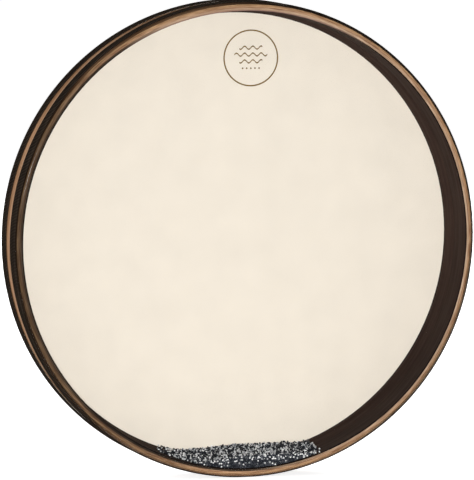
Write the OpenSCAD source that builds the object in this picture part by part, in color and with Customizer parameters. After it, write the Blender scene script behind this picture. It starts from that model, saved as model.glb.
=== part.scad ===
// Ocean drum: a bent wooden hoop closed by a clear head and a woven head,
// with loose steel beads that roll between them.
// The drum stands on its rim. Its axis lies along Y, the clear head faces -Y and +Z is up.
// The origin is the middle of the hoop. A section is drawn as radius along X and depth along Y.

/* [Hoop] */
// Outer diameter of the bent wooden hoop
hoop_d = 557.4; // [420:0.2:640]
// Depth of the hoop from edge to edge
hoop_depth = 69.2; // [62:0.1:110]
// Thickness of the outer ply and of each core ply
ply_t = 2; // [1.2:0.1:3]
// Thickness of the dark inner ply
inner_ply_t = 1.2; // [0.6:0.1:3]
// Radius of the rounding on the hoop's outer edges
edge_round = 5; // [1:0.1:5.8]
// Gap left between the ends of a ply where they meet
ply_seam = 0.1; // [0.05:0.05:0.6]
// Thickness of the glue between two pieces
glue_line = 0.05; // [0.02:0.01:0.1]

/* [Rear ring] */
// Thickness of the reinforcing ring inside the rear edge
ring_t = 4.8; // [2:0.1:8]
// Width of the ring along the drum's axis
ring_w = 24; // [12:0.5:30]
// Length of the slope on the ring's front
ring_slope = 16; // [4:0.5:24]

/* [Heads] */
// Thickness of the clear front head
front_head_t = 0.25; // [0.15:0.01:0.5]
// Thickness of the woven rear head
rear_head_t = 0.4; // [0.2:0.01:0.8]
// How far each head is folded back along the hoop
collar_w = 23; // [16:0.5:25]

/* [Binding tapes] */
// Width of each tape
tape_w = 20; // [15:0.5:22]
// Thickness of each tape
tape_t = 1; // [0.8:0.05:1.6]
// Distance from the hoop's edge to the tape
tape_setback = 6; // [6:0.1:8]
// Gap left between the two ends of a tape
tape_seam = 0.4; // [0.2:0.1:2]
// Place of the tape's ends, from the top towards the right
tape_seam_angle = 140; // [0:1:359]

/* [Staples] */
// Number of staples that hold each head
staple_count = 36; // [12:1:60]
// Outer length of a staple's crown
staple_crown = 10; // [6:0.5:12]
// Length of a staple's legs
staple_leg = 5; // [3:0.1:5.4]
// Thickness of the staple wire
staple_t = 0.5; // [0.3:0.05:0.6]
// Width of the staple wire
staple_w = 1.2; // [0.6:0.1:2]
// Clearance round a staple
staple_clearance = 0.05; // [0.02:0.01:0.1]

/* [Badge] */
// Outer diameter of the gold ring printed on the clear head
badge_d = 66.5; // [40:0.5:90]
// Height from the top of the gold ring to the top of the hoop's inner wall
badge_margin = 22; // [10:0.5:60]
// Distance of the ring's middle to the right of the drum's middle
badge_side = 4.5; // [-20:0.5:20]
// Width of the printed lines
badge_line = 1.6; // [0.8:0.1:2]
// Thickness of the print
badge_t = 0.05; // [0.03:0.01:0.1]
// Length of the longest printed wave
wave_run = 40; // [20:1:48]
// Length of one ripple
wave_length = 10; // [5:0.5:20]
// Height of a ripple from its middle line
wave_height = 1.8; // [0.8:0.1:2.6]
// Distance between two waves
wave_step = 8; // [6:0.5:9]
// Diameter of the dots under the waves
dot_d = 2; // [1:0.1:3]
// Distance between two dots
dot_step = 5; // [4:0.5:7]

/* [Beads] */
// Diameter of a bead
bead_d = 2; // [1.5:0.1:3]
// Space between two beads of a row
bead_gap = 0.08; // [0.05:0.01:0.3]
// Clearance of the beads to the hoop and the heads
bead_play = 0.3; // [0.2:0.05:0.5]
// Depth of the heap of beads in the middle of the drum
heap_depth = 17.3; // [13:0.1:30]
// Length of the heap from its middle to its blunt right end
heap_right_length = 90; // [70:1:110]
// Slope of the heap up towards the rear head, in degrees
heap_back_tilt = 10.1; // [0:0.1:12]
// Slope of the heap up towards the right, in degrees
heap_side_tilt = 2.1; // [0:0.1:4]
// Distance between the loose beads on top of the heap
top_pitch = 6.5; // [4:0.1:12]
// How far a loose bead lies from its place in the row
top_scatter = 1; // [0:0.1:1]
// Space between the heap's right end and the stray bead
stray_gap = 2.4; // [0.5:0.1:60]
// Place of the stray bead along the drum's axis
stray_y = -19; // [-30:1:6]

/* [Hidden] */
$fn = 180;

// Ends of the drum along its axis
FRONT = -1;
REAR = 1;

// Hoop
hoop_r = hoop_d/2;
half_depth = hoop_depth/2;
thick_plies = 4;
wall_r = hoop_r - thick_plies*(ply_t + glue_line) - inner_ply_t;
seam_step = 360/(thick_plies + 1);
overrun = ply_t;

// Rear ring
ring_outer_r = wall_r - glue_line;
ring_inner_r = ring_outer_r - ring_t;
ring_start = half_depth - ring_w;
ring_points = [
    [ring_outer_r, ring_start],
    [ring_inner_r, ring_start + ring_slope],
    [ring_inner_r, half_depth],
    [ring_outer_r, half_depth],
];

// Binding tapes and staples
tape_middle = half_depth - tape_setback - tape_w/2;
leg_x = (staple_crown - staple_t)/2;
staple_step = 360/staple_count;

// Badge
badge_z = wall_r - badge_margin - badge_d/2;
wave_run_shares = [0.7, 1, 0.7];
wave_points = 48;
wave_middle = len(wave_run_shares)/2;
dot_places = [-2, -1, 0, 1, 2];

// Beads
bead_r = bead_d/2;
bead_pitch = bead_d + bead_gap;
row_step = bead_pitch*sin(60);
wall_limit = wall_r - bead_play;
ring_limit = ring_inner_r - bead_play;
front_limit = -half_depth + bead_play;
rear_limit = half_depth - bead_play;
bed_front = front_limit + bead_pitch;
stray_r = wall_limit - bead_r;
stray_angle = asin((heap_right_length + stray_gap + bead_r)/stray_r);
heap_middle = [0, 0, heap_depth - wall_r];
heap_normal = [
    -cos(heap_back_tilt)*sin(heap_side_tilt),
    -sin(heap_back_tilt),
    cos(heap_back_tilt)*cos(heap_side_tilt),
];
chamber_points = [
    [0, bed_front],
    [wall_limit, bed_front],
    [wall_limit, ring_start - bead_play],
    [ring_limit, ring_start + ring_slope - bead_play],
    [ring_limit, rear_limit],
    [0, rear_limit],
];
front_rows = ceil(2*heap_depth/row_step);
front_columns = ceil(wall_r/bead_pitch);
top_rows = ceil(half_depth/top_pitch);
top_columns = ceil(wall_r/top_pitch);
scatter_seed = 7;
bead_sides = 16;

// Outer radius of a head's collar
function collar_r(head_t) = hoop_r + glue_line + head_t;

// Inner radius of the tape and the staple crowns over that collar
function seat_r(head_t) = collar_r(head_t) + glue_line;

// Height of a place above the heap's surface, measured square to that surface
function above_heap(place) = (place - heap_middle)*heap_normal;

// Place in the drum of a point given along the heap's surface: to the right, to the rear and up
function heap_place(right, back, up) =
    let (tilted_y = back*cos(heap_back_tilt) - up*sin(heap_back_tilt))
    let (tilted_z = back*sin(heap_back_tilt) + up*cos(heap_back_tilt))
    heap_middle + [
        right*cos(heap_side_tilt) - tilted_z*sin(heap_side_tilt),
        tilted_y,
        right*sin(heap_side_tilt) + tilted_z*cos(heap_side_tilt),
    ];

// Radius that the beads can reach at a given depth
function bead_limit(y) = y + bead_r > ring_start - bead_play ? ring_limit : wall_limit;

// True where a whole bead fits in the chamber
function bead_fits(place) =
    norm([place[0], place[2]]) <= bead_limit(place[1]) - bead_r
    && place[0] <= heap_right_length - bead_r;

// One steel bead about its own middle
module bead() {
    sphere(d = bead_d, $fn = bead_sides);
}

// Turns a section into a solid of revolution about the drum's axis
module around_axis() {
    rotate([-90, 0, 0]) rotate_extrude() children();
}

// Section of the hoop's outer form, grown by a given amount on all sides
module outer_form(grow) {
    r = hoop_r + grow;
    half = half_depth + grow;
    corner = edge_round + grow;
    translate([0, -half]) square([r - corner, 2*half]);
    translate([0, corner - half]) square([r, 2*(half - corner)]);
    for (side = [FRONT, REAR]) translate([r - corner, side*(half - corner)]) circle(r = corner);
}

// Thin radial cut where the ends of a strip meet, at an angle from the top towards the right
module seam_cut(gap, angle) {
    rotate([0, angle, 0]) translate([-gap/2, -hoop_depth, 0]) cube([gap, 2*hoop_depth, hoop_d]);
}

// One ply of the hoop, counted from the outside
module ply(index, thickness) {
    outer_r = hoop_r - index*(ply_t + glue_line);
    difference() {
        around_axis() intersection() {
            outer_form(0);
            translate([outer_r - thickness, -half_depth]) square([thickness, hoop_depth]);
        }
        seam_cut(ply_seam, index*seam_step + seam_step/2);
    }
}

// Copies its children to every staple's place at one end, with +Z pointing away from the axis
module each_staple(end) {
    for (index = [0 : staple_count - 1])
        rotate([0, (index + 0.5)*staple_step, 0]) translate([0, end*tape_middle, 0]) children();
}

// Slots for the legs of the staples at one end
module leg_slots(end, head_t) {
    slot_t = staple_t + 2*staple_clearance;
    slot_w = staple_w + 2*staple_clearance;
    slot_bottom = seat_r(head_t) - staple_leg - staple_clearance;
    each_staple(end)
        for (side = [-1, 1])
            translate([side*leg_x - slot_t/2, -slot_w/2, slot_bottom])
                cube([slot_t, slot_w, staple_leg + overrun]);
}

// Ply that the staple legs reach
module stapled_ply(index) {
    difference() {
        ply(index, ply_t);
        leg_slots(FRONT, front_head_t);
        leg_slots(REAR, rear_head_t);
    }
}

// Head stretched over one edge of the hoop, with its collar folded back along the hoop
module head(end, head_t) {
    reach = half_depth + glue_line + head_t;
    difference() {
        around_axis() intersection() {
            difference() {
                outer_form(glue_line + head_t);
                outer_form(glue_line);
            }
            translate([0, end > 0 ? half_depth - collar_w : -reach])
                square([collar_r(head_t), reach - half_depth + collar_w]);
        }
        leg_slots(end, head_t);
    }
}

// Woven tape bound round one end over the head's collar, with dents for the staple crowns
module tape(end, head_t) {
    inner_r = seat_r(head_t);
    corner = tape_t/2;
    dent_w = staple_w + 2*staple_clearance;
    dent_x = staple_crown + 2*staple_clearance;
    difference() {
        around_axis() translate([inner_r, end*tape_middle]) {
            translate([0, corner - tape_w/2]) square([tape_t, tape_w - tape_t]);
            for (side = [-1, 1]) translate([corner, side*(tape_w/2 - corner)]) circle(r = corner);
        }
        each_staple(end)
            translate([-dent_x/2, -dent_w/2, inner_r - staple_t])
                cube([dent_x, dent_w, 2*staple_t + staple_clearance]);
        seam_cut(tape_seam, tape_seam_angle);
    }
}

// Staples of one end, each a crown with two legs
module staples(end, head_t) {
    each_staple(end) translate([0, -staple_w/2, seat_r(head_t)]) {
        translate([-staple_crown/2, 0, 0]) cube([staple_crown, staple_w, staple_t]);
        for (side = [-1, 1])
            translate([side*leg_x - staple_t/2, 0, -staple_leg])
                cube([staple_t, staple_w, staple_leg + staple_t]);
    }
}

// One printed wave line
module wave(run) {
    steps = [for (index = [0 : wave_points]) run*(index/wave_points - 1/2)];
    top = [for (x = steps) [x, wave_height*sin(360*x/wave_length) + badge_line/2]];
    bottom = [for (x = steps) [-x, -wave_height*sin(360*x/wave_length) - badge_line/2]];
    polygon(concat(top, bottom));
}

module outer_ply() { color("#8a6848") stapled_ply(0); }
module core_ply_outer() { color("#a98560") stapled_ply(1); }
module core_ply_middle() { color("#8f6c4b") stapled_ply(2); }
module core_ply_inner() { color("#a98560") ply(3, ply_t); }
module inner_ply() { color("#3c3028") ply(thick_plies, inner_ply_t); }
module rear_ring() { color("#3c3028") around_axis() polygon(ring_points); }
module front_head() { color("#e8eef0", 0.3) head(FRONT, front_head_t); }
module rear_head() { color("#efe4d1") head(REAR, rear_head_t); }
module front_tape() { color("#2a2524") tape(FRONT, front_head_t); }
module rear_tape() { color("#2a2524") tape(REAR, rear_head_t); }
module front_staples() { color("#9a9ca0") staples(FRONT, front_head_t); }
module rear_staples() { color("#9a9ca0") staples(REAR, rear_head_t); }

// Gold ring with three waves and a row of dots, printed on the inner face of the clear head
module badge_print() {
    color("#a8862f")
        translate([badge_side, badge_t - half_depth - glue_line, badge_z])
            rotate([90, 0, 0]) linear_extrude(badge_t) {
                difference() {
                    circle(d = badge_d);
                    circle(d = badge_d - 2*badge_line);
                }
                for (index = [0 : len(wave_run_shares) - 1])
                    translate([0, (wave_middle - index)*wave_step])
                        wave(wave_run*wave_run_shares[index]);
                for (place = dot_places)
                    translate([place*dot_step, -wave_middle*wave_step]) circle(d = dot_d);
            }
}

// Packed beads under the heap's outer layers, as one solid
module bead_bed() {
    color("#4b4f57") intersection() {
        around_axis() polygon(chamber_points);
        translate(heap_middle) rotate([heap_back_tilt, -heap_side_tilt, 0])
            translate([-wall_r, -hoop_depth, -wall_r])
                cube([wall_r + heap_right_length, 2*hoop_depth, wall_r - bead_pitch]);
    }
}

// Beads that show through the clear head, packed in rows against it
module front_beads() {
    color("#70757e")
        for (row = [0 : front_rows])
            for (column = [-front_columns : front_columns]) {
                place = [
                    (column + (row % 2)/2)*bead_pitch,
                    front_limit + bead_r,
                    row*row_step - stray_r,
                ];
                if (bead_fits(place) && above_heap(place) <= -bead_r) translate(place) bead();
            }
}

// Loose beads scattered on top of the heap
module top_beads() {
    shifts = rands(-top_scatter, top_scatter, 2*(2*top_rows + 1)*(2*top_columns + 1), scatter_seed);
    color("#8a8f98")
        for (row = [-top_rows : top_rows])
            for (column = [-top_columns : top_columns]) {
                draw = 2*((row + top_rows)*(2*top_columns + 1) + column + top_columns);
                place = heap_place(column*top_pitch + shifts[draw], row*top_pitch + shifts[draw + 1], -bead_r);
                inside = place[1] >= bed_front + bead_r && place[1] <= rear_limit - bead_r;
                if (inside && bead_fits(place)) translate(place) bead();
            }
}

// Bead that lies by itself beside the heap
module stray_bead() {
    color("#b8bcc2")
        translate([stray_r*sin(stray_angle), stray_y, -stray_r*cos(stray_angle)]) bead();
}

outer_ply();
core_ply_outer();
core_ply_middle();
core_ply_inner();
inner_ply();
rear_ring();
front_head();
rear_head();
front_tape();
rear_tape();
front_staples();
rear_staples();
badge_print();
bead_bed();
front_beads();
top_beads();
stray_bead();
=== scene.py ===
import math

import bpy
import numpy as np
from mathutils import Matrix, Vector


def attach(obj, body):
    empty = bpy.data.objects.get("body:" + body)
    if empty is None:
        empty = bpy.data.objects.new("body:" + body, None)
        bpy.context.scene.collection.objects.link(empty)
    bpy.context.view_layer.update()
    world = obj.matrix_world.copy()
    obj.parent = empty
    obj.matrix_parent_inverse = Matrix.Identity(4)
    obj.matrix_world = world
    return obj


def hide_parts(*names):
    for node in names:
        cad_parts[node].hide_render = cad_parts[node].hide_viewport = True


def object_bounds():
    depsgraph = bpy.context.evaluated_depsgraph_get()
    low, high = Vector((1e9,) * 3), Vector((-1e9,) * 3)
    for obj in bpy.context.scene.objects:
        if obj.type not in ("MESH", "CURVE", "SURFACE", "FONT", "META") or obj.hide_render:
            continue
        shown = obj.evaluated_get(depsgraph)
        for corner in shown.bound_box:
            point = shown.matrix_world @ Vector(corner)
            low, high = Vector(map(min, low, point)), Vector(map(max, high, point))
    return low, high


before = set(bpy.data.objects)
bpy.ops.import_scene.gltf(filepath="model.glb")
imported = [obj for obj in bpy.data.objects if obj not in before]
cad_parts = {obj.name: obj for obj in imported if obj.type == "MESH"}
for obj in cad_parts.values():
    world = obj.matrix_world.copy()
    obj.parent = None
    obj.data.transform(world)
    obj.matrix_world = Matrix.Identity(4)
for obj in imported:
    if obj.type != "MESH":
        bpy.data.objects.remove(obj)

cad_low, cad_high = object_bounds()

# Lengths are in millimetres unless a comment says otherwise. X runs to the right, Y to the rear and Z up.
# A way round the hoop is an angle from its top towards the right, in degrees
MM = 0.001
PER_METRE = 1 / MM

# Hoop, as the solids have it
HOOP_R = 278.7
HALF_DEPTH = 34.6
EDGE_ROUND = 5.0
CORNER_R = HOOP_R - EDGE_ROUND
CORNER_Y = HALF_DEPTH - EDGE_ROUND
PLY_T = 2.0
PLY_SEAM = 0.1
PLY_SEAM_WAY = 36.0
GLUE = 0.05

# Heads and the tapes over their collars
FRONT_FILM_T = 0.25
REAR_HEAD_T = 0.4
COLLAR_W = 23.0
TAPE_T = 1.0
TAPE_MIDDLE = 18.6
TAPE_SEAM = 0.4
TAPE_SEAM_WAY = 140.0
TAPE_RIBS = 1034
STEPS_PER_RIB = 4
# The front tape was laid by hand and wanders towards the front of the hoop on its left side
TAPE_WANDER = 4.4
TAPE_WANDER_WAY = 280.0
# Half the section of a tape, from its edge to its middle: place across it, height over the collar, and how
# much higher it is on a rib
TAPE_HALF_SECTION = (
    (-9.55, 0.0, 0.0), (-9.85, 0.2, 0.0), (-10.0, 0.6, 0.0), (-9.85, 0.95, 0.05), (-9.55, 1.2, 0.15),
    (-8.8, 1.25, 0.25), (-8.0, 1.05, 0.45), (-4.0, 1.05, 0.45), (0.0, 1.05, 0.45),
)

# Beads, and the chamber that holds them: its ends, its wall, and the rear ring that rises from it by a slope
BEAD_D = 2.0
BEAD_FRONT = -34.3
BEAD_REAR = 34.3
BEAD_WALL = 269.0
BEAD_RING = 264.15
RING_START = 10.3
RING_FULL = 26.3
# Middle distance of packed beads, and as shares of it the distance between rows and between layers
PITCH = BEAD_D + 0.06
ROW_SHARE = math.sin(math.pi / 3)
LAYER_SHARE = 0.82

# Surface of the heap: height along its rear at places from left to right, and its slope to the front, which
# grows over a length to the left of the middle
REAR_LINE = (
    (-104, -94, -85, -74, -63, -41, -26, -4, 18, 63, 77, 90, 100),
    (-247.9, -247.6, -249.8, -252.3, -253.6, -253.0, -252.2, -250.2, -250.2, -249.2, -249.6, -248.2, -247.8),
)
SLOPE_RIGHT = 0.08
SLOPE_LEFT = 0.115
SLOPE_GROWS = 55.0
# Right end of the heap at the front, how much further right it reaches for each millimetre to the rear, and
# the height of its middle
HEAP_RIGHT = 90.0
HEAP_END_SLANT = 0.13
HEAP_END_LEVEL = -252.0
# Layers of the surface: height, and share of the places that hold a bead
SURFACE_LAYERS = ((0.55, 0.2), (-1.0, 0.84), (-2.65, 1.0), (-4.3, 1.0))
# Depth of those layers. Below it, beads lie only along the clear film and the right end, round a solid
# middle
SURFACE_DEPTH = 4.9
MIDDLE_INSET = 3.6
MIDDLE_GAP = 0.3
MIDDLE_LEAST_T = 0.05

# Points round the drum, round a bead and between its poles
AROUND = 720
BALL_AROUND = 8
BALL_RINGS = 4
# Beads in one piece, which keeps it under 200,000 triangles
PIECE_BEADS = 2900
# Rounds of pushing overlapping beads apart
SETTLE_ROUNDS = 12
# Faces that meet at more than this angle keep a sharp edge
SHARP_EDGE = math.radians(40)


# Nodes and colours

def linear(code):
    """A hex sRGB colour as linear red, green and blue, with an alpha of 1."""
    parts = [int(code[place : place + 2], 16) / 255 for place in (1, 3, 5)]
    return [c / 12.92 if c <= 0.04045 else ((c + 0.055) / 1.055) ** 2.4 for c in parts] + [1.0]


def add(tree, kind, inputs=None, **settings):
    """Adds a node. In inputs, a value sets its socket and another node's output is linked to it."""
    node = tree.nodes.new("ShaderNode" + kind)
    for key, value in settings.items():
        setattr(node, key, value)
    for key, value in (inputs or {}).items():
        if isinstance(value, bpy.types.NodeSocket):
            tree.links.new(value, node.inputs[key])
        else:
            node.inputs[key].default_value = value
    return node


def new_material(name):
    """A new material of that name, with its empty node tree."""
    material = bpy.data.materials.new(name)
    material.use_nodes = True
    material.node_tree.nodes.clear()
    return material, material.node_tree


# Camera, fitted to the ellipses of the tapes, the rim and the rear head. Its distance is in metres
CAMERA_AZIMUTH = math.radians(15.65)
CAMERA_ELEVATION = math.radians(5.34)
CAMERA_DISTANCE = 6.160
FRAME_W_PX = 474
FRAME_H_PX = 480
FOCAL_PX = 5230.6
AXIS_X_PX = 239.13
AXIS_Y_PX = 237.88
SENSOR_MM = 36.0

back = Vector((
    -math.sin(CAMERA_AZIMUTH) * math.cos(CAMERA_ELEVATION),
    -math.cos(CAMERA_AZIMUTH) * math.cos(CAMERA_ELEVATION),
    math.sin(CAMERA_ELEVATION),
))
camera = bpy.data.objects.new("camera", bpy.data.cameras.new("camera"))
bpy.context.scene.collection.objects.link(camera)
camera.location = back * CAMERA_DISTANCE
camera.rotation_mode = "QUATERNION"
camera.rotation_quaternion = (-back).to_track_quat("-Z", "Y")
camera.data.sensor_width = SENSOR_MM
camera.data.lens = SENSOR_MM * FOCAL_PX / FRAME_H_PX
camera.data.shift_x = (FRAME_W_PX / 2 - AXIS_X_PX) / FRAME_H_PX
camera.data.shift_y = (AXIS_Y_PX - FRAME_H_PX / 2) / FRAME_H_PX
camera.data.clip_start = 0.5
camera.data.clip_end = 100
bpy.context.scene.camera = camera


# Shapes

def side_quads(rows, columns):
    """Four corners of each cell on the side of a tube. Its points are numbered row by row, and each row is a
    closed loop."""
    row = np.arange(rows - 1)[:, None] * columns
    column = np.arange(columns)[None, :]
    next_column = (column + 1) % columns
    corners = [row + column, row + next_column, row + columns + next_column, row + columns + column]
    return np.stack(corners, -1).reshape(-1, 4)


def flat_ends(rows, columns):
    """One face of many corners on the first row of a tube and one on its last."""
    loop = np.arange(columns)[None, :]
    return [loop[:, ::-1], (rows - 1) * columns + loop]


def pole_fans(rows, columns):
    """Triangles from a tube's first and last row to one point each, numbered after the tube's own."""
    here = np.arange(columns)
    there = (here + 1) % columns
    last_row = (rows - 1) * columns
    return [
        np.stack([np.full(columns, rows * columns), there, here], -1),
        np.stack([np.full(columns, rows * columns + 1), last_row + here, last_row + there], -1),
    ]


def volume_of(points, faces):
    """Six times the signed volume of a closed surface: the sum over its triangles of a dot (b cross c)."""
    total = 0.0
    for part in faces:
        for third in range(2, part.shape[1]):
            a, b, c = points[part[:, 0]], points[part[:, third - 1]], points[part[:, third]]
            total += float(np.einsum("ij,ij->", a, np.cross(b, c)))
    return total


def make_piece(name, points, faces, material, body, replaces=(), values=None):
    """A closed surface from points in millimetres and lists of faces, turned to face outwards and shaded
    smooth. Values holds a number for each point under the name of an attribute."""
    if volume_of(points, faces) < 0:
        faces = [part[:, ::-1] for part in faces]
    mesh = bpy.data.meshes.new(name)
    mesh.vertices.add(len(points))
    mesh.vertices.foreach_set("co", (points * MM).astype(np.float32).ravel())
    sizes = np.concatenate([np.full(len(part), part.shape[1]) for part in faces])
    corners = np.concatenate([part.ravel() for part in faces])
    mesh.loops.add(len(corners))
    mesh.loops.foreach_set("vertex_index", corners.astype(np.int32))
    mesh.polygons.add(len(sizes))
    mesh.polygons.foreach_set("loop_start", (np.cumsum(sizes) - sizes).astype(np.int32))
    mesh.polygons.foreach_set("use_smooth", np.ones(len(sizes), bool))
    mesh.update(calc_edges=True)
    for key, value in (values or {}).items():
        attribute = mesh.attributes.new(key, "FLOAT", "POINT")
        attribute.data.foreach_set("value", np.asarray(value, np.float32))
    mesh.set_sharp_from_angle(angle=SHARP_EDGE)
    mesh.materials.append(material)
    piece = bpy.data.objects.new(name, mesh)
    bpy.context.scene.collection.objects.link(piece)
    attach(piece, body)
    if replaces:
        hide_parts(*replaces)
    return piece


def around(radius, depth, angle):
    """Points at a radius and depth, turned by an angle in radians from the top towards the right."""
    return np.stack(np.broadcast_arrays(radius * np.sin(angle), depth, radius * np.cos(angle)), -1)


def full_turn(gap, radius, gap_way, count):
    """Angles in radians once round the drum, from one side of a thin gap to the other."""
    half_gap = gap / 2 / radius
    return np.linspace(half_gap, 2 * math.pi - half_gap, count) + math.radians(gap_way)


def turned_ring(profile, gap, gap_way):
    """A closed outline of radius and depth carried round the drum's axis, from one side of a thin gap to the
    other, with a flat end on each side."""
    angle = full_turn(gap, HOOP_R, gap_way, AROUND)
    points = around(profile[None, :, 0], profile[None, :, 1], angle[:, None]).reshape(-1, 3)
    return points, [side_quads(AROUND, len(profile)), *flat_ends(AROUND, len(profile))]


def turned_disc(profile):
    """An outline of radius and depth that starts and ends on the axis, carried round it. Each end is closed at
    one point."""
    rings = profile[1:-1]
    angle = np.linspace(0, 2 * math.pi, AROUND, endpoint=False)
    points = around(rings[:, None, 0], rings[:, None, 1], angle[None, :]).reshape(-1, 3)
    points = np.vstack([points, [[0, profile[0, 1], 0]], [[0, profile[-1, 1], 0]]])
    return points, [side_quads(len(rings), AROUND), *pole_fans(len(rings), AROUND)]


def arc(middle_r, middle_y, radius, start, stop, count):
    """Points on a circle in the section, from one angle to another. An angle of 0 points away from the axis
    and 90 to the rear."""
    turn = np.radians(np.linspace(start, stop, count))
    return np.stack([middle_r + radius * np.cos(turn), middle_y + radius * np.sin(turn)], -1)


def head_profile(end, thickness, rings):
    """Section of a head: the flat from the axis out, the rounded edge, the collar, and the same back along the
    inner face. An end of -1 is the front of the drum and 1 its rear."""
    corner_points = 14
    collar_points = 6
    sides = []
    for grow in (GLUE + thickness, GLUE):
        flat = np.stack([np.linspace(0, CORNER_R, rings), np.full(rings, HALF_DEPTH + grow)], -1)
        corner = arc(CORNER_R, CORNER_Y, EDGE_ROUND + grow, 90, 0, corner_points)[1:]
        depth = np.linspace(CORNER_Y, HALF_DEPTH - COLLAR_W, collar_points + 1)[1:]
        collar = np.stack([np.full(collar_points, HOOP_R + grow), depth], -1)
        sides.append(np.vstack([flat, corner, collar]))
    return np.vstack([sides[0], sides[1][::-1]]) * [1, end]


def ply_profile():
    """Section of the outer ply: its outer side with both rounded edges. Its flat inner side closes the
    outline."""
    corner_points = 10
    side_points = 7
    inner_turn = math.degrees(math.acos((HOOP_R - PLY_T - CORNER_R) / EDGE_ROUND))
    depth = np.linspace(-CORNER_Y, CORNER_Y, side_points + 2)[1:-1]
    return np.vstack([
        arc(CORNER_R, -CORNER_Y, EDGE_ROUND, -inner_turn, 0, corner_points),
        np.stack([np.full(side_points, HOOP_R), depth], -1),
        arc(CORNER_R, CORNER_Y, EDGE_ROUND, 0, inner_turn, corner_points),
    ])


def tape_surface(end, inner_r, wander):
    """Woven tape bound round the hoop. Across it, a flat tube with round edges; along it, the outer side rises
    and falls once a rib, less towards the edges. It wanders from its middle line by the square of the cosine
    of the angle from the place where it wanders most, and sinks with the hoop's rounded edge where it lies
    over it. Returns its points and faces, and for each point how near it is to the top of a rib."""
    half = np.array(TAPE_HALF_SECTION)
    across, height, raised = np.vstack([half, half[-2::-1] * [-1, 1, 1]]).T
    steps = TAPE_RIBS * STEPS_PER_RIB
    angle = full_turn(TAPE_SEAM, inner_r + TAPE_T / 2, TAPE_SEAM_WAY, steps)
    rib = np.abs(np.sin(np.linspace(0, TAPE_RIBS * math.pi, steps)))
    near = np.maximum(np.cos(angle - math.radians(TAPE_WANDER_WAY)), 0.0) ** 2
    depth = TAPE_MIDDLE + across[None, :] + wander * near[:, None]
    over_edge = np.clip(depth - CORNER_Y, 0.0, EDGE_ROUND)
    sunk = EDGE_ROUND - np.sqrt(EDGE_ROUND**2 - over_edge**2)
    radius = inner_r + height[None, :] + raised[None, :] * rib[:, None] - sunk
    points = around(radius, end * depth, angle[:, None]).reshape(-1, 3)
    rib_tops = np.broadcast_to(rib[:, None], radius.shape).ravel()
    return points, [side_quads(steps, len(across)), *flat_ends(steps, len(across))], rib_tops


# Materials

def round_tone(tree, direction, way, start, full, tone):
    """A factor for a colour: 1, falling to tone where the direction from the axis comes near one way round the
    hoop. Nearness is the cosine of the angle between the two, and the factor falls from start to full."""
    towards = (math.sin(math.radians(way)), 0, math.cos(math.radians(way)))
    near = add(tree, "VectorMath", {0: direction, 1: towards}, operation="DOT_PRODUCT").outputs["Value"]
    return add(
        tree, "MapRange", {"Value": near, "From Min": start, "From Max": full, "To Min": 1.0, "To Max": tone},
        interpolation_type="SMOOTHSTEP",
    ).outputs[0]


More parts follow.
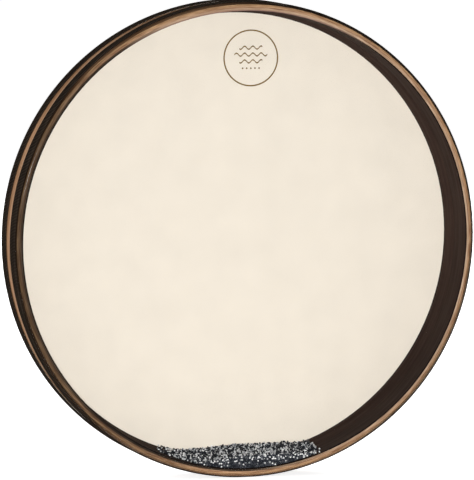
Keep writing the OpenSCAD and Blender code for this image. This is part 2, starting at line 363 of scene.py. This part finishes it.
def wood(
    name, colours, streak_rad, streak_mm, pore_mm, rough, swing, tones,
    edge_mm=None, edge_stain_and_shade=1.0, edge_painted_light=(),
):
    """Wood bent round the hoop, in three colours of the figure, from dark to light, and that of the pores. A
    place is read as its direction from the axis, its depth and its radius, so streaks and pores run round
    without a seam. Swing is how far long stretches get lighter and darker. Tones darken it towards some ways
    round the hoop. The edge, from one distance to another from the middle plane, has a dark tone of its own,
    partly stain and partly painted shade, times its edge tones, which are painted light towards some ways
    round the hoop."""
    shine = 0.03
    pore_rad = 0.03
    swing_rad = 0.6
    swing_mm = 60.0
    relief_mm = 0.2
    material, tree = new_material(name)
    place = add(tree, "TexCoord").outputs["Object"]
    flat = add(tree, "VectorMath", {0: place, 1: (1, 0, 1)}, operation="MULTIPLY").outputs["Vector"]
    radius = add(tree, "VectorMath", {0: flat}, operation="LENGTH").outputs["Value"]
    direction = add(tree, "VectorMath", {0: flat}, operation="NORMALIZE").outputs["Vector"]
    depth = add(tree, "VectorMath", {0: place, 1: (0, 1, 0)}, operation="MULTIPLY").outputs["Vector"]

    def streaks(along_rad, across_mm, detail, seed):
        """Noise drawn out along the grain: as long as an angle round the hoop and as wide as a length."""
        across = PER_METRE / across_mm
        run = add(tree, "VectorMath", {0: direction, "Scale": 1 / along_rad}, operation="SCALE")
        side = add(tree, "VectorMath", {0: depth, "Scale": across}, operation="SCALE")
        both = add(tree, "VectorMath", {0: run.outputs[0], 1: side.outputs[0]}, operation="ADD")
        layer = add(tree, "Math", {0: radius, 1: across, 2: seed}, operation="MULTIPLY_ADD")
        return add(tree, "TexNoise", {
            "Vector": both.outputs[0], "W": layer.outputs[0],
            "Scale": 1.0, "Detail": detail, "Roughness": 0.55,
        }, noise_dimensions="4D").outputs["Fac"]

    figure = streaks(streak_rad, streak_mm, detail=3.0, seed=3.1)
    pores = streaks(pore_rad, pore_mm, detail=2.0, seed=8.7)
    long_swing = streaks(swing_rad, swing_mm, detail=1.0, seed=5.2)
    ramp = add(tree, "ValToRGB", {"Fac": figure})
    stops = ramp.color_ramp.elements
    stops[0].position = 0.36
    stops[0].color = linear(colours[0])
    stops[1].position = 0.64
    stops[1].color = linear(colours[2])
    stops.new(0.5).color = linear(colours[1])
    pore_share = add(tree, "MapRange", {
        "Value": pores, "From Min": 0.60, "From Max": 0.72, "To Max": 0.45,
    }).outputs[0]
    colour = add(tree, "Mix", {
        0: pore_share, 6: ramp.outputs["Color"], 7: linear(colours[3]),
    }, data_type="RGBA").outputs[2]
    factors = [add(tree, "MapRange", {
        "Value": long_swing, "From Min": 0.3, "From Max": 0.7, "To Min": 1 - swing, "To Max": 1 + swing,
    }).outputs[0]]
    factors += [round_tone(tree, direction, *tone) for tone in tones]
    if edge_mm:
        across = add(tree, "VectorMath", {0: depth}, operation="LENGTH").outputs["Value"]
        share = add(tree, "MapRange", {
            "Value": across, "From Min": edge_mm[0] * MM, "From Max": edge_mm[1] * MM,
        }).outputs[0]
        for tone in edge_painted_light:
            factor = round_tone(tree, direction, *tone)
            edge_stain_and_shade = add(tree, "Math", {0: factor, 1: edge_stain_and_shade}, operation="MULTIPLY").outputs[0]
        factors.append(add(tree, "Mix", {0: share, 2: 1.0, 3: edge_stain_and_shade}, data_type="FLOAT").outputs[0])
    for factor in factors:
        colour = add(tree, "VectorMath", {0: colour, "Scale": factor}, operation="SCALE").outputs["Vector"]
    roughness = add(tree, "MapRange", {
        "Value": figure, "From Min": 0.3, "From Max": 0.7, "To Min": rough + 0.08, "To Max": rough - 0.08,
    }).outputs[0]
    relief = add(tree, "Math", {0: figure, 1: pores}, operation="SUBTRACT").outputs[0]
    normal = add(tree, "Bump", {"Height": relief, "Strength": 0.4, "Distance": relief_mm * MM}).outputs[0]
    shader = add(tree, "BsdfPrincipled", {
        "Base Color": colour, "Roughness": roughness, "Normal": normal, "Specular IOR Level": shine,
    })
    add(tree, "OutputMaterial", {"Surface": shader.outputs[0]})
    return material


def speckled(name, colours, size_mm, rough, metallic, relief_mm):
    """A finish that varies in fine specks between two colours, with the roughness and the relief that go with
    them."""
    material, tree = new_material(name)
    place = add(tree, "TexCoord").outputs["Object"]
    specks = add(tree, "TexNoise", {
        "Vector": place, "Scale": PER_METRE / size_mm, "Detail": 2.0,
    }).outputs["Fac"]
    share = add(tree, "MapRange", {"Value": specks, "From Min": 0.35, "From Max": 0.65}).outputs[0]
    colour = add(tree, "Mix", {
        0: share, 6: linear(colours[0]), 7: linear(colours[1]),
    }, data_type="RGBA").outputs[2]
    roughness = add(tree, "MapRange", {"Value": share, "To Min": rough[0], "To Max": rough[1]}).outputs[0]
    normal = add(tree, "Bump", {"Height": share, "Strength": 0.5, "Distance": relief_mm * MM}).outputs[0]
    shader = add(tree, "BsdfPrincipled", {
        "Base Color": colour, "Roughness": roughness, "Metallic": metallic, "Normal": normal,
    })
    add(tree, "OutputMaterial", {"Surface": shader.outputs[0]})
    return material


def woven_head():
    """Cream woven head: crossing threads, drawn twice as coarse as they are so that they show, over a slow
    mottle. Light from behind shines through it."""
    thread_mm = 0.9
    mottle_mm = 35.7
    relief_mm = 0.05
    turn = 2 * math.pi * PER_METRE / thread_mm
    material, tree = new_material("cream_woven_head")
    place = add(tree, "TexCoord").outputs["Object"]
    turns = add(tree, "VectorMath", {0: place, "Scale": turn}, operation="SCALE").outputs["Vector"]
    ways = add(tree, "SeparateXYZ", {0: turns})
    across = add(tree, "Math", {0: ways.outputs["X"]}, operation="SINE").outputs[0]
    up = add(tree, "Math", {0: ways.outputs["Z"]}, operation="SINE").outputs[0]
    weave = add(tree, "Math", {0: across, 1: up}, operation="MULTIPLY").outputs[0]
    mottle = add(tree, "TexNoise", {
        "Vector": place, "Scale": PER_METRE / mottle_mm, "Detail": 3.0,
    }).outputs["Fac"]
    share = add(tree, "Math", {0: weave, 1: 0.03, 2: mottle}, operation="MULTIPLY_ADD").outputs[0]
    spread = add(tree, "MapRange", {"Value": share, "From Min": 0.25, "From Max": 0.75}).outputs[0]
    colour = add(tree, "Mix", {
        0: spread, 6: linear("#ece5d9"), 7: linear("#f1eade"),
    }, data_type="RGBA").outputs[2]
    roughness = add(tree, "MapRange", {"Value": spread, "To Min": 0.8, "To Max": 0.65}).outputs[0]
    normal = add(tree, "Bump", {"Height": weave, "Strength": 0.25, "Distance": relief_mm * MM}).outputs[0]
    front = add(tree, "BsdfPrincipled", {
        "Base Color": colour, "Roughness": roughness, "Normal": normal, "Specular IOR Level": 0.2,
    })
    through = add(tree, "BsdfTranslucent", {"Color": colour, "Normal": normal})
    shader = add(tree, "MixShader", {0: 0.3, 1: front.outputs[0], 2: through.outputs[0]})
    add(tree, "OutputMaterial", {"Surface": shader.outputs[0]})
    return material


def grosgrain():
    """Black grosgrain tape: matt threads over cross ribs, with painted light on the tops of the ribs and black
    between them, a little more worn in some places than in others."""
    thread_mm = 0.4
    wear_mm = 25.0
    relief_mm = 0.1
    material, tree = new_material("black_grosgrain")
    place = add(tree, "TexCoord").outputs["Object"]
    rib = add(tree, "Attribute", attribute_name="rib").outputs["Fac"]
    threads = add(tree, "TexNoise", {
        "Vector": place, "Scale": PER_METRE / thread_mm, "Detail": 1.0,
    }).outputs["Fac"]
    worn = add(tree, "TexNoise", {
        "Vector": place, "Scale": PER_METRE / wear_mm, "Detail": 2.0,
    }).outputs["Fac"]
    wear = add(tree, "MapRange", {"Value": worn, "To Min": 0.8, "To Max": 1.2}).outputs[0]
    # Painted light on the rib tops, more or less where the tape is more or less worn
    lit = add(tree, "Math", {0: rib, 1: wear}, operation="MULTIPLY").outputs[0]
    share = add(tree, "MapRange", {"Value": lit, "From Min": 0.5, "From Max": 1.0}).outputs[0]
    colour = add(tree, "Mix", {
        0: share, 6: linear("#030202"), 7: linear("#40372f"),
    }, data_type="RGBA").outputs[2]
    normal = add(tree, "Bump", {"Height": threads, "Strength": 0.5, "Distance": relief_mm * MM}).outputs[0]
    roughness = add(tree, "MapRange", {"Value": threads, "To Min": 0.8, "To Max": 0.95}).outputs[0]
    shader = add(tree, "BsdfPrincipled", {
        "Base Color": colour, "Roughness": roughness, "Normal": normal, "Specular IOR Level": 0.0,
    })
    add(tree, "OutputMaterial", {"Surface": shader.outputs[0]})
    return material


def steel_shot(name, tone):
    """Small steel balls: a broad soft highlight on a dark bluish ball. Tone makes one lighter and less
    metallic, up to a white one; the light ones are painted reflections and the white ones painted glints. It
    is a number, or None to read each bead's own tone."""
    scuff_mm = 0.7
    material, tree = new_material(name)
    if tone is None:
        tone = add(tree, "Attribute", attribute_name="tone").outputs["Fac"]
    ramp = add(tree, "ValToRGB", {"Fac": tone})
    stops = ramp.color_ramp.elements
    stops[0].color = linear("#111317")
    stops[1].color = linear("#fbfbfb")
    stops.new(0.3).color = linear("#3f434b")
    stops.new(0.6).color = linear("#b0b4b8")
    metallic = add(tree, "MapRange", {
        "Value": tone, "From Min": 0.5, "To Min": 1.0, "To Max": 0.1,
    }).outputs[0]
    place = add(tree, "TexCoord").outputs["Object"]
    scuffs = add(tree, "TexNoise", {
        "Vector": place, "Scale": PER_METRE / scuff_mm, "Detail": 1.0,
    }).outputs["Fac"]
    roughness = add(tree, "MapRange", {"Value": scuffs, "To Min": 0.4, "To Max": 0.6}).outputs[0]
    shader = add(tree, "BsdfPrincipled", {
        "Base Color": ramp.outputs["Color"], "Metallic": metallic, "Roughness": roughness,
    })
    add(tree, "OutputMaterial", {"Surface": shader.outputs[0]})
    return material


def clear_film():
    """Clear polyester film: it shows what is behind it, under a weak mirror image that a little haze makes
    uneven. The mirror's share is a small part of Fresnel's, up to a limit."""
    haze_mm = 16.7
    mirror_part = 0.04
    mirror_limit = 0.006
    material, tree = new_material("clear_polyester_film")
    place = add(tree, "TexCoord").outputs["Object"]
    haze = add(tree, "TexNoise", {
        "Vector": place, "Scale": PER_METRE / haze_mm, "Detail": 2.0,
    }).outputs["Fac"]
    roughness = add(tree, "MapRange", {"Value": haze, "To Min": 0.08, "To Max": 0.2}).outputs[0]
    fresnel = add(tree, "Fresnel", {"IOR": 1.45}).outputs[0]
    weak = add(tree, "Math", {0: fresnel, 1: mirror_part}, operation="MULTIPLY").outputs[0]
    mirror = add(tree, "Math", {0: weak, 1: mirror_limit}, operation="MINIMUM").outputs[0]
    gloss = add(tree, "BsdfGlossy", {"Roughness": roughness})
    clear = add(tree, "BsdfTransparent")
    shader = add(tree, "MixShader", {0: mirror, 1: clear.outputs[0], 2: gloss.outputs[0]})
    add(tree, "OutputMaterial", {"Surface": shader.outputs[0]})
    return material


# The plies are darker at the lower left of the hoop: painted shade, on the side away from the light. A tone
# is a way round the hoop, the nearness to it where the tone starts and where it is full, and its factor
LOWER_LEFT_PAINTED_SHADE = (209, 0.945, 0.99, 0.62)

# Walnut veneer, oiled and left satin: straight streaks and short dark pores, with painted shade at the
# lower left of the hoop. Its rounded edges are drawn almost black, and lighter at the bottom and the upper
# left of the hoop: painted light where the edge faces the light
veneer = wood(
    "oiled_walnut_veneer", ["#8a6344", "#a07858", "#b28b6a", "#4a3021"],
    streak_rad=0.25, streak_mm=3.2, pore_mm=0.5, rough=0.5, swing=0.08, tones=[LOWER_LEFT_PAINTED_SHADE],
    edge_mm=(28.4, 30.4), edge_stain_and_shade=0.05, edge_painted_light=[(185, 0.75, 0.95, 12.0), (335, 0.85, 0.98, 5.0)],
)
# Cut edges of the core plies under the clear film: short mottled streaks. Each strip is darker at the left
# of the hoop, and the brown one also at the lower right: painted shade, on the sides away from the light
cut_edge = {"streak_rad": 0.07, "streak_mm": 1.3, "pore_mm": 0.5, "rough": 0.55, "swing": 0.08}
core_inner = wood(
    "cut_edge_pale_ply", ["#967861", "#a98c72", "#bfa389", "#6b4c37"], **cut_edge,
    tones=[(252, -0.1, 0.35, 0.1), LOWER_LEFT_PAINTED_SHADE],
)
core_middle = wood(
    "cut_edge_red_ply", ["#79553d", "#98765a", "#b59170", "#54351f"], **cut_edge,
    tones=[(265, 0.3, 0.95, 0.24), LOWER_LEFT_PAINTED_SHADE],
)
core_outer = wood(
    "cut_edge_brown_ply", ["#7b5a40", "#9b7858", "#b8936c", "#543922"], **cut_edge,
    tones=[(270, 0.3, 0.95, 0.24), (118, 0.78, 0.94, 0.45), LOWER_LEFT_PAINTED_SHADE],
)
# Inner ply and ring, stained dark and left matt. The ply is drawn almost black along its front edge, dark
# stain and painted shade, and the ring in its corner against the rear head, painted shade. At the top of
# the hoop the ply's front edge is painted light instead.
dark_stain = {
    "colours": ["#372924", "#3b2d27", "#3f312b", "#2a1f1a"], "streak_rad": 0.25, "streak_mm": 4.0,
    "pore_mm": 0.6, "rough": 0.7, "swing": 0.04, "tones": [(160, 0.2, 0.95, 0.7)], "edge_stain_and_shade": 0.16,
}
dark_ply = wood("dark_stained_ply", **dark_stain, edge_mm=(32.9, 34.4), edge_painted_light=[(0, 0.8, 0.97, 36.0)])
dark_ring = wood("dark_stained_ring", **dark_stain, edge_mm=(32.6, 33.8))
# Galvanised wire of the staples: dull zinc with a fine spangle
wire = speckled(
    "galvanised_wire", ["#85888c", "#a6a9ac"], size_mm=0.5, rough=(0.5, 0.32), metallic=1.0, relief_mm=0.01,
)
# Gold ink, printed: dull metal flakes, a little uneven
gold = speckled(
    "gold_ink", ["#5c4100", "#806000"], size_mm=0.6, rough=(0.5, 0.35), metallic=0.3, relief_mm=0.01,
)
# Beads deep in the heap, which only show in the gaps between the upper ones. They are drawn near black,
# painted shade
packed_beads_in_painted_shade = speckled(
    "packed_beads_painted_shade", ["#050506", "#15171a"], size_mm=2.0, rough=(0.5, 0.4), metallic=0.8, relief_mm=0.6,
)
cream = woven_head()
black = grosgrain()
film = clear_film()
# Steel shot by each bead's tone, with painted glints and reflections; the stray bead is a painted glint
steel = steel_shot("steel_shot", None)
painted_glint_steel = steel_shot("painted_glint_steel_shot", 0.95)


# Heads, outer ply and tapes

points, faces = turned_disc(head_profile(-1, FRONT_FILM_T, rings=24))
make_piece("front_film", points, faces, film, "drum", ["front_head"])

points, faces = turned_disc(head_profile(1, REAR_HEAD_T, rings=60))
rear_cloth = make_piece("rear_cloth", points, faces, cream, "drum", ["rear_head"])

points, faces = turned_ring(ply_profile(), PLY_SEAM, PLY_SEAM_WAY)
make_piece("veneered_outer_ply", points, faces, veneer, "drum", ["outer_ply"])

for name, end, head_t, node, rest, wander in (
    ("front_grosgrain", -1, FRONT_FILM_T, "front_tape", "front_film", TAPE_WANDER),
    ("rear_grosgrain", 1, REAR_HEAD_T, "rear_tape", "rear_cloth", 0.0),
):
    inner_r = HOOP_R + GLUE + head_t + GLUE
    points, faces, rib_tops = tape_surface(end, inner_r, wander)
    tape = make_piece(name, points, faces, black, "drum", [node], {"rib": rib_tops})


# Places of the beads

def heap_top(x, y):
    """Height of the heap's surface: a wavy line along its rear, and from there down to the front by a slope
    that grows smoothly towards the left, where the beads have run up the wall."""
    left = np.clip(-x / SLOPE_GROWS, 0, 1)
    slope = SLOPE_RIGHT + (SLOPE_LEFT - SLOPE_RIGHT) * left**2 * (3 - 2 * left)
    return np.interp(x, REAR_LINE[0], REAR_LINE[1]) - (RING_FULL - y) * slope


def below_surface(places):
    """Depth of places below the heap's surface."""
    return heap_top(places[:, 0], places[:, 1]) - places[:, 2]


def right_end(y):
    """How far right the heap reaches at a depth: a straight line, further right towards the rear."""
    return HEAP_RIGHT + (y - BEAD_FRONT) * HEAP_END_SLANT


def bead_limit(y):
    """Radius that the beads reach at a depth: the wall, then the slope and the top of the rear ring."""
    return np.interp(y, [RING_START, RING_FULL], [BEAD_WALL, BEAD_RING])


def wall_below(x, y):
    """Height of the wall or ring below a place, less a small gap."""
    return -np.sqrt((bead_limit(y) - MIDDLE_GAP) ** 2 - x**2)


def surface_beads(rng):
    """Layers that follow the heap's surface: rows of touching places, some of them empty, all moved at
    random, a little less up and down than sideways."""
    half_columns = 60
    half_rows = 22
    shift_mm = 0.34
    upward_share = 0.8
    layers = []
    columns = np.arange(-half_columns, half_columns)
    rows = np.arange(-half_rows, half_rows + 1)
    column, row = np.meshgrid(columns, rows)
    for index, (height, share) in enumerate(SURFACE_LAYERS):
        keep = rng.random(column.shape) < share
        shift = rng.normal(0, shift_mm, (3,) + column.shape)
        x = ((column + row % 2 / 2) * PITCH + index * PITCH / 2 + shift[0])[keep]
        y = (row * PITCH * ROW_SHARE + index % 2 * PITCH / 2 + shift[1])[keep]
        z = heap_top(x, y) + height + shift[2][keep] * upward_share
        layers.append(np.stack([x, y, z], -1))
    return np.vstack(layers)


def film_beads(rng):
    """Two layers along the clear film below the surface layers, in rows that run round with the wall."""
    half_columns = 60
    rows = 14
    shift_mm = 0.07
    outer_r = BEAD_WALL - BEAD_D / 2
    layers = []
    row, column = np.meshgrid(np.arange(rows), np.arange(-half_columns, half_columns))
    for index in range(2):
        radius = outer_r - row * PITCH * ROW_SHARE
        angle = math.pi + (column + row % 2 / 2 + index / 2) * PITCH / outer_r
        depth = BEAD_FRONT + BEAD_D / 2 + index * PITCH * LAYER_SHARE
        places = around(radius, depth, angle).reshape(-1, 3)
        layers.append(places + rng.normal(0, shift_mm, places.shape))
    places = np.vstack(layers)
    return places[below_surface(places) > SURFACE_DEPTH]


def end_beads(rng):
    """Two layers that close the heap's right end, behind the ones along the film."""
    half_columns = 20
    rows = 34
    shift_mm = 0.2
    layers = []
    row, column = np.meshgrid(np.arange(rows), np.arange(-half_columns, half_columns + 1))
    for index in range(2):
        y = (row - rows / 2) * PITCH
        x = right_end(y) - BEAD_D / 2 - index * PITCH * LAYER_SHARE
        z = HEAP_END_LEVEL + (column + row % 2 / 2) * PITCH * ROW_SHARE
        places = np.stack([x, y, z], -1).reshape(-1, 3)
        layers.append(places + rng.normal(0, shift_mm, places.shape))
    places = np.vstack(layers)
    return places[(below_surface(places) > SURFACE_DEPTH) & (places[:, 1] > BEAD_FRONT + 2 * BEAD_D)]


def in_chamber(places):
    """The places whose beads lie inside the heap's walls, or so little outside that settling brings them
    in: their middles keep a little less than a bead's radius from each wall."""
    wall_room = 0.8
    end_room = 0.7
    x, y, z = places.T
    inside = np.hypot(x, z) < bead_limit(y + BEAD_D / 2) - wall_room
    inside &= (y > BEAD_FRONT + end_room) & (y < BEAD_REAR - end_room)
    return places[inside & (x < right_end(y) - end_room)]


def settle(places, rounds):
    """Pushes beads that overlap apart by half their overlap each, over and over, and keeps them off the
    walls. Beads are sorted along X, so that only near neighbours in that order are compared. Each round makes
    only a share of the pushes, so that they don't build up."""
    push_share = 0.8
    least_distance = 1e-6
    half = BEAD_D / 2
    for _ in range(rounds):
        places = places[np.argsort(places[:, 0], kind="stable")]
        push = np.zeros_like(places)
        for step in range(1, len(places)):
            apart = places[step:] - places[:-step]
            if apart[:, 0].min() > BEAD_D:
                break
            distance = np.maximum(np.linalg.norm(apart, axis=1), least_distance)
            move = apart * (np.maximum(BEAD_D - distance, 0) / 2 / distance)[:, None]
            push[step:] += move
            push[:-step] -= move
        places = places + push * push_share
        places[:, 1] = np.clip(places[:, 1], BEAD_FRONT + half, BEAD_REAR - half)
        places[:, 0] = np.minimum(places[:, 0], right_end(places[:, 1]) - half)
        radius = np.hypot(places[:, 0], places[:, 2])
        inward = np.minimum(1, (bead_limit(places[:, 1] + half) - half) / radius)
        places[:, 0] *= inward
        places[:, 2] *= inward
    return places


rng = np.random.default_rng(11)
beads = np.vstack([surface_beads(rng), film_beads(rng), end_beads(rng)])
beads = settle(in_chamber(beads), SETTLE_ROUNDS)


# Shapes of the beads

def heap_middle():
    """The solid under the layers of beads: a sheet along the wall and one below the surface, joined round
    their edges. At each depth it starts where there is first room between the two, seen from the left."""
    rows = 80
    columns = 30
    look_from = -120
    look_places = 481
    y = np.linspace(BEAD_FRONT + MIDDLE_INSET, BEAD_REAR - BEAD_D / 2, columns)
    x = np.linspace(look_from, 0, look_places)
    open_room = heap_top(x[None, :], y[:, None]) - SURFACE_DEPTH - wall_below(x[None, :], y[:, None])
    left_end = x[np.argmax(open_room > 0, axis=1)]
    x = left_end + np.linspace(0, 1, rows)[:, None] * (right_end(y) - MIDDLE_INSET - left_end)
    low = wall_below(x, y)
    high = np.maximum(heap_top(x, y) - SURFACE_DEPTH, low + MIDDLE_LEAST_T)
    depth = np.broadcast_to(y, x.shape)
    points = np.concatenate([np.stack([x, depth, high], -1), np.stack([x, depth, low], -1)[:, ::-1]], 1)
    loop = 2 * columns
    step = np.arange(columns - 1)
    cap = np.stack([step, step + 1, loop - 2 - step, loop - 1 - step], -1)
    return points.reshape(-1, 3), [side_quads(rows, loop), cap[:, ::-1], cap + (rows - 1) * loop]


def ball_shape():
    """One bead about its middle: rings of points at equal angles between two poles. Returns its points, its
    quads and the triangles at its poles."""
    turn = np.arange(BALL_AROUND) * 2 * math.pi / BALL_AROUND
    tilt = (np.arange(1, BALL_RINGS + 1) / (BALL_RINGS + 1) - 0.5) * math.pi
    sphere = np.stack([
        np.cos(tilt)[:, None] * np.cos(turn),
        np.cos(tilt)[:, None] * np.sin(turn),
        np.broadcast_to(np.sin(tilt)[:, None], (BALL_RINGS, BALL_AROUND)),
    ], -1).reshape(-1, 3)
    points = np.vstack([sphere, [[0, 0, -1]], [[0, 0, 1]]]) * BEAD_D / 2
    return points, side_quads(BALL_RINGS, BALL_AROUND), np.vstack(pole_fans(BALL_RINGS, BALL_AROUND))


def bead_tones_and_painted_glints(beads, rng):
    """Tone of each bead. The ones along the film are dark, with a bright one here and there, the upper ones
    mix dark and light in small groups, and where the two meet, the most are bright. The bright ones are
    painted glints and the light ones painted reflections of the light; the dark ones are the steel's own
    colour."""
    film_reach = 3.4
    rim_depth = 4.5
    group_mm = 5
    group_cells = (60, 20)
    chance, spread = rng.random((2, len(beads)))
    groups = rng.random(group_cells)
    cell_x = (beads[:, 0] / group_mm).astype(int) + group_cells[0] // 2
    cell_y = (beads[:, 1] / group_mm).astype(int) + group_cells[1] // 2
    at_film = beads[:, 1] < BEAD_FRONT + film_reach
    rim = at_film & (below_surface(beads) < rim_depth)
    painted_glint_share = np.where(rim, 0.22, np.where(at_film, 0.02, 0.04))
    painted_reflection_share = np.where(at_film, 0.07, 0.05 + 0.6 * groups[cell_x, cell_y])
    light = 0.52 + 0.4 * spread
    dark = np.where(at_film, 0.22, 0.1) + 0.16 * spread
    return np.where(chance < painted_glint_share, 1.0, np.where(chance < painted_glint_share + painted_reflection_share, light, dark))


points, faces = heap_middle()
make_piece("heap_middle", points, faces, packed_beads_in_painted_shade, "bead_charge", ["bead_bed"])

ball, ball_sides, ball_poles = ball_shape()
tones = bead_tones_and_painted_glints(beads, rng)
order = np.argsort(beads[:, 0], kind="stable")
for index, group in enumerate(np.array_split(order, math.ceil(len(beads) / PIECE_BEADS))):
    points = (beads[group][:, None, :] + ball[None]).reshape(-1, 3)
    start = np.arange(len(group))[:, None, None] * len(ball)
    faces = [(ball_sides[None] + start).reshape(-1, 4), (ball_poles[None] + start).reshape(-1, 3)]
    make_piece(
        f"heap_beads_{index + 1}", points, faces, steel, "bead_charge",
        ["front_beads", "top_beads"] if index == 0 else (),
        {"tone": np.repeat(tones[group], len(ball))},
    )


# Finishes of the solids that stay

for material, names in (
    (core_inner, ("core_ply_inner",)),
    (core_middle, ("core_ply_middle",)),
    (core_outer, ("core_ply_outer",)),
    (dark_ply, ("inner_ply",)),
    (dark_ring, ("rear_ring",)),
    (wire, ("front_staples", "rear_staples")),
    (gold, ("badge_print",)),
    (painted_glint_steel, ("stray_bead",)),
):
    for name in names:
        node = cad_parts[name]
        node.data.materials.clear()
        node.data.materials.append(material)

# The print is a film of ink far thinner than its solid, so it throws no shadow on the rear head
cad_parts["badge_print"].visible_shadow = False


# Floor, world and lamps, in metres

WHITE = (1, 1, 1, 1)
FLOOR_SIDE = 6
FLOOR_NEAR = -0.2
FLOOR_FAR = 20

# White floor from just before the drum to far behind it. It glows only where the camera or a mirror sees it
floor_z = cad_low.z
mesh = bpy.data.meshes.new("floor")
mesh.from_pydata([
    (-FLOOR_SIDE, FLOOR_NEAR, floor_z), (FLOOR_SIDE, FLOOR_NEAR, floor_z),
    (FLOOR_SIDE, FLOOR_FAR, floor_z), (-FLOOR_SIDE, FLOOR_FAR, floor_z),
], [], [(0, 1, 2, 3)])
floor = bpy.data.objects.new("floor", mesh)
bpy.context.scene.collection.objects.link(floor)
paint, tree = new_material("white_floor_paint")
rays = add(tree, "LightPath").outputs
seen = add(tree, "Math", {0: rays["Is Camera Ray"], 1: rays["Is Glossy Ray"]}, operation="MAXIMUM")
seen = add(tree, "Math", {0: seen.outputs[0], 1: rays["Is Transmission Ray"]}, operation="MAXIMUM")
diffuse = add(tree, "BsdfDiffuse", {"Color": linear("#f4f4f4")})
glow = add(tree, "Emission", {"Color": WHITE, "Strength": 0.75})
both = add(tree, "AddShader", {0: diffuse.outputs[0], 1: glow.outputs[0]})
shader = add(tree, "MixShader", {0: seen.outputs[0], 1: diffuse.outputs[0], 2: both.outputs[0]})
add(tree, "OutputMaterial", {"Surface": shader.outputs[0]})
mesh.materials.append(paint)

# World: white to the camera, a dim room with a white wall behind the drum to a mirror, and soft light
# otherwise
world = bpy.data.worlds.new("studio")
bpy.context.scene.world = world
world.use_nodes = True
tree = world.node_tree
tree.nodes.clear()
rays = add(tree, "LightPath").outputs
way = add(tree, "SeparateXYZ", {0: add(tree, "TexCoord").outputs["Generated"]})
behind = add(
    tree, "MapRange", {"Value": way.outputs["Y"], "From Min": 0.72, "From Max": 0.85},
    interpolation_type="SMOOTHSTEP",
)
white = add(tree, "Background", {"Color": WHITE, "Strength": 1.0})
room = add(tree, "Background", {"Color": WHITE, "Strength": 0.05})
soft = add(tree, "Background", {"Color": WHITE, "Strength": 0.3})
mirrored = add(tree, "MixShader", {0: behind.outputs[0], 1: room.outputs[0], 2: white.outputs[0]})
mirror = add(tree, "Math", {0: rays["Is Glossy Ray"], 1: rays["Is Transmission Ray"]}, operation="MAXIMUM")
by_ray = add(tree, "MixShader", {0: mirror.outputs[0], 1: soft.outputs[0], 2: mirrored.outputs[0]})
shown = add(tree, "MixShader", {0: rays["Is Camera Ray"], 1: by_ray.outputs[0], 2: white.outputs[0]})
add(tree, "OutputWorld", {"Surface": shown.outputs[0]})

# Soft square lamps that point at the drum's middle: place, width, power, and whether a mirror shows them.
# The key lamp stands far off, behind the camera and a little to its right, so the rim throws no shadow on
# the head
for name, place, width, power, in_mirror in (
    ("key", (-1.73, -6.93, 0.5), 0.4, 465, True),
    ("left_fill", (-2.6, 0.5, 0.9), 1.2, 27, False),
    ("back_fill", (1.2, 3.2, 1.6), 1.2, 80, False),
):
    data = bpy.data.lights.new(name, "AREA")
    data.shape = "SQUARE"
    data.size = width
    data.energy = power
    lamp = bpy.data.objects.new(name, data)
    bpy.context.scene.collection.objects.link(lamp)
    lamp.location = place
    lamp.rotation_mode = "QUATERNION"
    lamp.rotation_quaternion = (-Vector(place)).to_track_quat("-Z", "Y")
    lamp.visible_glossy = in_mirror

bpy.context.scene.view_settings.view_transform = "Standard"
